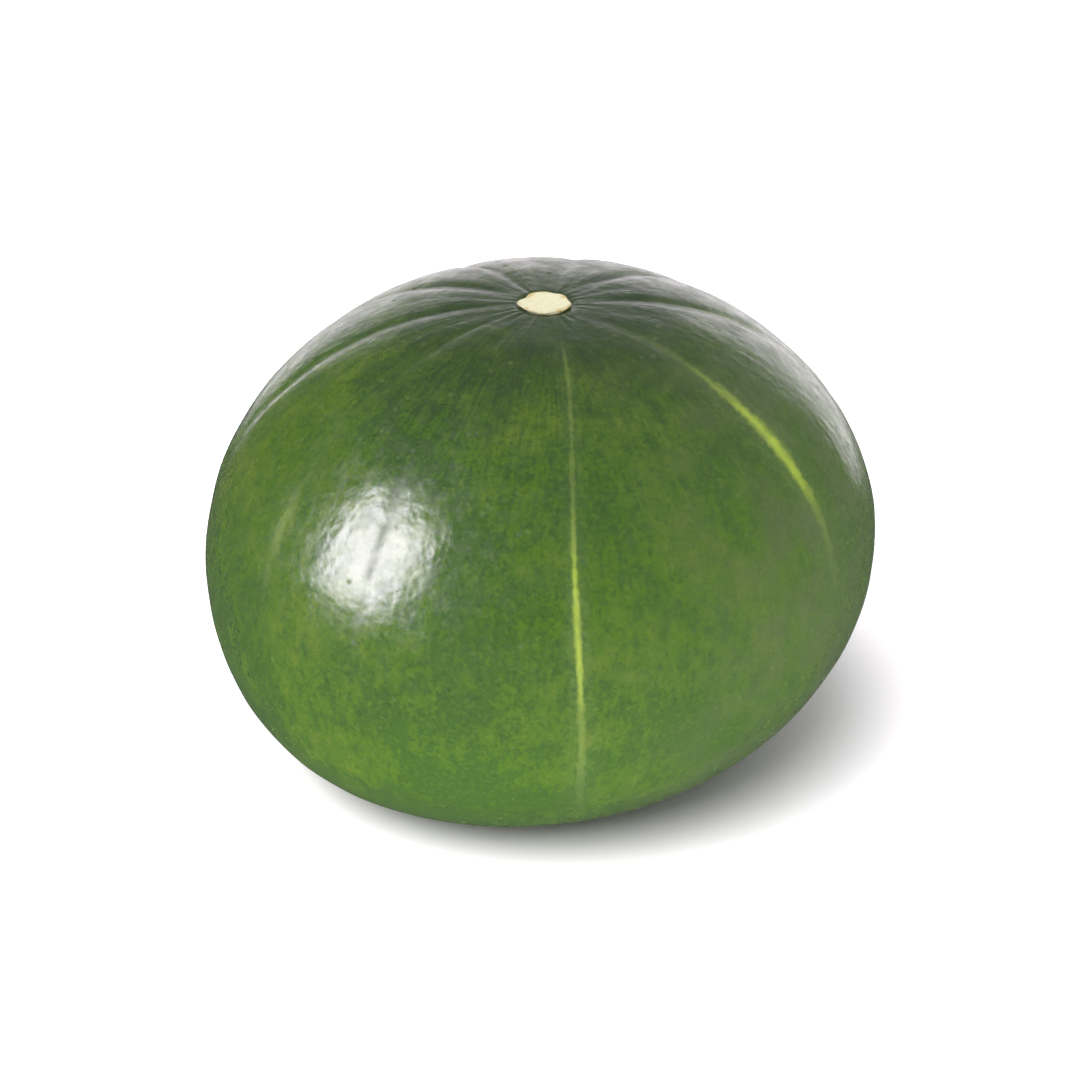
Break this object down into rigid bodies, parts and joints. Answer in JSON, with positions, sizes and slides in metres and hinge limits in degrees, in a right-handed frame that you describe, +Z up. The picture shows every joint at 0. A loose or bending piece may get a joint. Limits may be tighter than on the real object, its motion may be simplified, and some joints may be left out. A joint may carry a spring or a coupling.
{
  "type": "round zucchini",
  "caption": "Squat round zucchini as picked: a glossy green fruit with shallow furrows running down from a pale corky stem stub, standing upright on its flattened blossom end.",
  "frame": {"origin": "middle of the box round the fruit, on the flat that it rests on", "axes": "+Z up, from the blossom end to the stem; -Y is the side that the picture's camera looks at"},
  "size_m": [0.1138, 0.1138, 0.0865],
  "materials": {
    "green_skin": "waxy glossy rind, mottled mid to dark green, with thin yellow-green lines in some furrows",
    "pale_cork": "dry matte cork, cream with a thin tan edge"
  },
  "bodies": {
    "root": {"fruit": "green_skin", "stem_stub": "pale_cork"}
  },
  "joints": []
}
